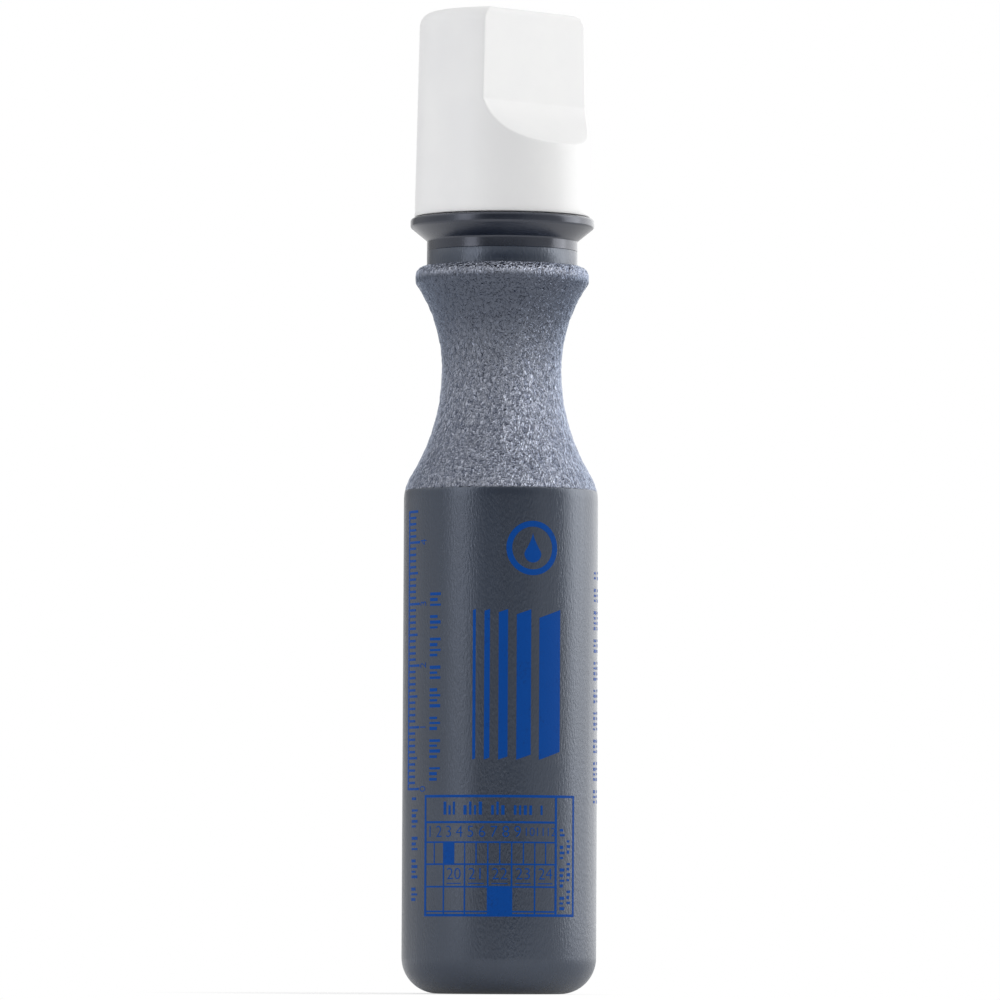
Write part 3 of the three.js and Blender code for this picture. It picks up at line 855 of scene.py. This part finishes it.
felt, tree, surface, place = new_finish("pressed_felt")
fibres = pattern(tree, place, 2400, (1, 1, 0.15), Detail=5.0, Roughness=0.7)
clumps = pattern(tree, place, 500, (1, 1, 0.5), Detail=3.0)
felt_colour = tint(tree, between(tree, fibres, *most), *felt_colours)
tree.links.new(felt_colour, surface.inputs["Base Color"])
surface.inputs["Roughness"].default_value = 0.95
surface.inputs["Sheen Weight"].default_value = 0.3
raised(tree, surface, calculate(tree, "ADD", fibres, clumps), 0.12 * mm)
felt_nib = piece("felt_nib", nib_mesh, felt, "nib_assembly", 60)
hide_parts("nib")

# Cap
# Injection-moulded in glossy white plastic, slightly tapered, with a snap rib inside its rim.
# One side is cut to a flat for the thumb, which runs out below in a scooped ledge. Heights in
# this section are over the rim.
cap_rim = 126.62
cap_radius = 14.35
cap_top_radius = 13.67
cap_height = 33.55
cap_round = 2.3
cap_wall = 1.3
cap_bore = 13.05
cap_bore_top = 12.37
cap_ceiling = 32.05
ceiling_edge = 11.17
ceiling_round = 1.2
snap_rib = 12.4
flat_reach = 7.2
flat_bearing = math.radians(-44.5)
flat_softness = 0.3
scoop_radius = 10.8
scoop_middle = (17.5, 21.63)
scoop_start = 18.38
holder_bore, holder_radius = 5.85, 6.85
holder_cut = 6.4
cap_steps = 512
facing = Vector((math.cos(flat_bearing), math.sin(flat_bearing), 0))
sideways = Vector((-facing.y, facing.x, 0))

top_edge = cap_top_radius - cap_round
taper = cap_radius - cap_top_radius
straight = cap_height - cap_round
scoop = [scoop_middle[1] - scoop_radius * math.sin(math.radians(k)) for k in range(18, 75, 2)]
heights = [1, 2.5, 4, 6, 8, 10] + scoop[::-1]
heights += [scoop_start, scoop_start + 0.15, 20, 22, 24, 26, 28, 30]
side = [(cap_radius - 0.25, 0), (cap_radius - 0.07, 0.07), (cap_radius, 0.25)]
side += [(cap_radius - taper * z / straight, z) for z in heights]
side += arc((top_edge, straight), cap_round, 0, 90, 20)
side += [(top_edge * share, cap_height) for share in (0.75, 0.5, 0.25, 0)]
hollow = [(cap_radius - 0.25, 0), (cap_bore + 0.2, 0), (cap_bore, 0.2), (cap_bore, 0.5)]
hollow += [(snap_rib, 0.95), (cap_bore, 1.4)]
hollow += [
    (cap_bore - (cap_bore - cap_bore_top) * (z - 1.4) / (cap_ceiling - 2.6), z)
    for z in (4, 8, 9.4, 9.8, 10.5, 11.2, 12, 13.5, 15, 16.5, 17.3, 18.2, 20, 22, 26)
]
hollow += arc((ceiling_edge, cap_ceiling - ceiling_round), ceiling_round, 0, 90, 5)
hollow += [(ceiling_edge * share, cap_ceiling) for share in (0.75, 0.5, 0.25, 0)]


def cut_reach(z, inset):
    """How far the thumb flat and its scoop lie from the axis at a height over the rim."""
    depth = scoop_middle[1] - z
    radius = scoop_radius + inset
    if depth >= radius:
        return 99.0
    scooped = scoop_middle[0] - math.sqrt(radius ** 2 - max(depth, 0) ** 2)
    return max(flat_reach - inset, scooped)


def softly_least(a, b, width):
    """The lesser of two numbers, rounded over where they are nearly the same."""
    gap = max(0.0, width - abs(a - b)) / width
    return min(a, b) - gap * gap * width / 4


def cut_for_thumb(profile, inset, level, edge, round_off):
    """One face of the cap's wall, spun and pressed in to the flat and the scoop."""
    made = spun([(r, z + cap_rim) for r, z in profile], cap_steps)
    for point in made.verts:
        z = point.co.z / mm - cap_rim
        out, along = point.co.dot(facing) / mm, point.co.dot(sideways) / mm
        radius = math.hypot(out, along)
        if radius < 1e-6:
            continue
        grow = max(1.0, edge / radius) if abs(z - level) < 1e-4 else 1.0
        rest = max(0.0, z - (level - round_off))
        reach = cut_reach(z, inset) - round_off + math.sqrt(max(0.0, round_off ** 2 - rest ** 2))
        out = softly_least(out * grow, reach, flat_softness) / grow
        point.co = (facing * out + sideways * along) * mm + Vector((0, 0, point.co.z))
    return made


cap_mesh = cut_for_thumb(side, 0, cap_height, top_edge, 0.9)
lining = cut_for_thumb(hollow, cap_wall, cap_ceiling, ceiling_edge, 0.0)
holder_low, holder_high = cap_ceiling - 5 + cap_rim, cap_ceiling + 0.5 + cap_rim
holder = spun([
    (holder_bore, holder_low), (holder_radius, holder_low),
    (holder_radius, holder_high), (holder_bore, holder_high),
], 128, closed=True)
opened = sliced(holder, facing * holder_cut * mm, facing, 1e-6, clear_outer=True)["geom_cut"]
rims = [item for item in opened if isinstance(item, bmesh.types.BMEdge)]
bmesh.ops.holes_fill(holder, edges=rims)
taken_in(cap_mesh, lining)
taken_in(cap_mesh, holder)
bmesh.ops.remove_doubles(cap_mesh, verts=cap_mesh.verts, dist=1e-7)
bmesh.ops.recalc_face_normals(cap_mesh, faces=cap_mesh.faces)

cap_plastic, surface = moulded(
    "white_cap_plastic", 120, (1, 1, 1), ((0.83, 0.83, 0.83), (0.855, 0.855, 0.85)),
    gloss=(0.36, 0.44), grit=2600, depth=0.006 * mm,
)
surface.inputs["Subsurface Weight"].default_value = 0.15
surface.inputs["Subsurface Radius"].default_value = (0.6, 0.6, 0.6)
surface.inputs["Subsurface Scale"].default_value = mm

cap = piece("thumb_cap", cap_mesh, cap_plastic, "cap")
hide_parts("cap_shell")

# Inner cap
# A thin white cup of the same plastic, pressed into the ring under the cap's roof: its wide mouth
# closes over the nose and its tube keeps the nib from drying.
cup_wall = 0.8
tube_bore, tube_radius = 4.9, 4.9 + cup_wall
tube_low, tube_roof = 142.4, 157.77
tube_top = tube_roof + cup_wall
mouth_bore, mouth_radius = 8.35, 8.35 + cup_wall
mouth_low, mouth_high = 135.77, 136.67
outline = [
    (0, tube_roof), (tube_bore - 0.15, tube_roof), (tube_bore, tube_roof - 0.15),
    (tube_bore, tube_low), (mouth_bore, mouth_high), (mouth_bore, mouth_low + 0.1),
    (mouth_bore + 0.1, mouth_low), (mouth_radius - 0.1, mouth_low),
    (mouth_radius, mouth_low + 0.1), (mouth_radius, mouth_high + 0.2),
    (tube_radius, tube_low + 0.2), (tube_radius, tube_top - 0.4),
    (tube_radius - 0.15, tube_top - 0.12), (tube_radius - 0.4, tube_top), (0, tube_top),
]
inner_cap = piece("inner_cap", spun(outline, 128), cap_plastic, "cap")
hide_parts("cap_inner")

# Valve parts and nib carrier
# Moulded in natural, slightly milky plastic: the valve's body clipped under the collar, the
# plunger that the nib presses open, the retainer for its spring, and the carrier of the nib.
natural_plastic, surface = moulded(
    "natural_plastic", 220, (1, 1, 0.3), ((0.74, 0.73, 0.67), (0.83, 0.82, 0.77)),
    gloss=(0.34, 0.46), grit=2600, depth=0.01 * mm,
)
surface.inputs["Subsurface Weight"].default_value = 0.3
surface.inputs["Subsurface Radius"].default_value = (1, 1, 0.8)
surface.inputs["Subsurface Scale"].default_value = mm


def finished(names, finish):
    """Gives a finish to pieces that are already shaped in the frame."""
    for name in names:
        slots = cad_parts[name].data.materials
        slots.clear()
        slots.append(finish)


finished(("valve_body", "valve_plunger", "spring_retainer", "nib_carrier"), natural_plastic)

# Seals
# The collar's flat gasket, the seat that the valve closes on and the ring under the nose are cut
# or moulded in soft black rubber with a dull, slightly bloomed surface.
rubber_dark, rubber_bloomed = (0.012, 0.012, 0.013), (0.035, 0.035, 0.037)
rubber_gloss = (0.6, 0.8)
seal_rubber, tree, surface, place = new_finish("seal_rubber")
bloom = pattern(tree, place, 500, Detail=5.0, Roughness=0.7)
pores = pattern(tree, place, 4200, Detail=2.0)
rubber_colour = tint(tree, between(tree, bloom, 0.35, 0.7), rubber_dark, rubber_bloomed)
tree.links.new(rubber_colour, surface.inputs["Base Color"])
tree.links.new(between(tree, bloom, *most, *rubber_gloss), surface.inputs["Roughness"])
raised(tree, surface, pores, 0.03 * mm)
finished(("collar_gasket", "valve_seat", "nose_seal"), seal_rubber)

# Valve spring
# Coiled from drawn stainless wire, with fine draw marks along it and a dull bright finish. It
# stands on the retainer; in the marker it gets shorter as the nib is pressed, but here it keeps
# one length.
spring_foot = 109.07
spring_length = 7.0
spring_radius = 2.6
spring_wire = 0.35
spring_turns = 4.75
spring_steps = 171
wire_sides = 18
wire_colours = ((0.5, 0.5, 0.51), (0.66, 0.66, 0.67))
wire_gloss = (0.22, 0.38)

wire = bmesh.new()
upended = Matrix.Rotation(math.pi / 2, 3, "X")
wire_start = Vector((spring_radius * mm, 0, (spring_foot + spring_wire) * mm))
bmesh.ops.create_circle(wire, segments=wire_sides, radius=spring_wire * mm)
bmesh.ops.rotate(wire, verts=wire.verts, cent=(0, 0, 0), matrix=upended)
bmesh.ops.translate(wire, verts=wire.verts, vec=wire_start)
rise = (spring_length - 2 * spring_wire) / spring_steps
bmesh.ops.spin(
    wire, geom=wire.verts[:] + wire.edges[:], cent=(0, 0, 0), axis=(0, 0, 1),
    dvec=(0, 0, rise * mm), angle=2 * math.pi * spring_turns, steps=spring_steps, use_merge=False,
)
bmesh.ops.holes_fill(wire, edges=wire.edges[:], sides=wire_sides)
bmesh.ops.recalc_face_normals(wire, faces=wire.faces[:])

spring_steel, tree, surface, place = new_finish("spring_steel")
drawn = pattern(tree, place, 700, (0.3, 0.3, 4), Detail=4.0)
surface.inputs["Metallic"].default_value = 1.0
wire_colour = tint(tree, between(tree, drawn, *most), *wire_colours)
tree.links.new(wire_colour, surface.inputs["Base Color"])
tree.links.new(between(tree, drawn, *most, *wire_gloss), surface.inputs["Roughness"])
raised(tree, surface, drawn, 0.01 * mm)
valve_coil = piece("valve_coil", wire, spring_steel, "bottle_assembly", 40)
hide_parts("valve_spring")
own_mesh(valve_coil)

# Stirring ball
# A polished steel ball with fine scuffs. It lies loose on the bottle's floor and stirs the
# paint when the marker is shaken.
ball_radius = 3.5
ball_colours = ((0.6, 0.61, 0.63), (0.72, 0.73, 0.74))
ball_gloss = (0.06, 0.2)
low_corner, high_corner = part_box("mixing_ball")
ball_middle = (Vector(low_corner) + Vector(high_corner)) / 2
ball_mesh = bmesh.new()
bmesh.ops.create_icosphere(ball_mesh, subdivisions=5, radius=ball_radius * mm)
bmesh.ops.translate(ball_mesh, verts=ball_mesh.verts, vec=ball_middle)

ball_steel, tree, surface, place = new_finish("ball_steel")
film = pattern(tree, place, 300, Detail=4.0)
scuffs = pattern(tree, place, 2400, (1, 1, 0.2), Detail=3.0)
surface.inputs["Metallic"].default_value = 1.0
ball_colour = tint(tree, between(tree, film, 0.35, 0.7), *ball_colours)
tree.links.new(ball_colour, surface.inputs["Base Color"])
tree.links.new(between(tree, scuffs, 0.4, 0.75, *ball_gloss), surface.inputs["Roughness"])
stirring_ball = piece("stirring_ball", ball_mesh, ball_steel, "stirring_ball")
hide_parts("mixing_ball")
